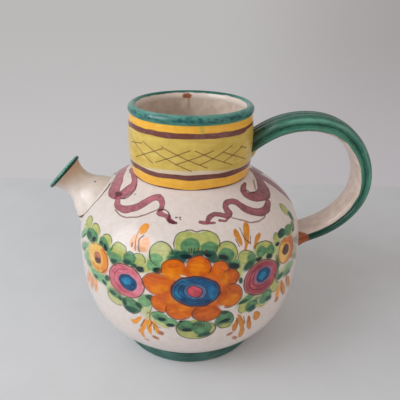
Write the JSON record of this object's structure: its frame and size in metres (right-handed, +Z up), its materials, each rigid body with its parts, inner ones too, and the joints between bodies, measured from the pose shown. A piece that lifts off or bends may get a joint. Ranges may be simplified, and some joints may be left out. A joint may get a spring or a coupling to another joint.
{
  "type": "botijo",
  "caption": "Hand-painted glazed water jug on a low flat foot, with a round belly, a wide collar neck, a short flared side spout and a ribbed loop handle.",
  "frame": {"origin": "centre of the foot's flat underside, on the jug's axis", "axes": "+Z up along the jug's axis, +X towards the loop handle, -X towards the spout, +Y to the back"},
  "size_m": [0.233, 0.165, 0.1824],
  "materials": {
    "white_glaze": "glossy off-white tin glaze, painted",
    "yellow_glaze": "glossy ochre yellow glaze with brown bands",
    "green_glaze": "glossy streaky copper green glaze",
    "terracotta": "bare red clay, matt"
  },
  "bodies": {
    "root": {"foot_disc": "green_glaze", "belly_shell": "white_glaze", "neck_collar": "yellow_glaze", "rim_roll": "green_glaze", "spout_collar": "white_glaze", "spout_tube": "white_glaze", "spout_lip": "green_glaze", "handle_strap": "green_glaze", "handle_upper_luting": "yellow_glaze", "handle_lower_luting": "terracotta"}
  },
  "joints": []
}
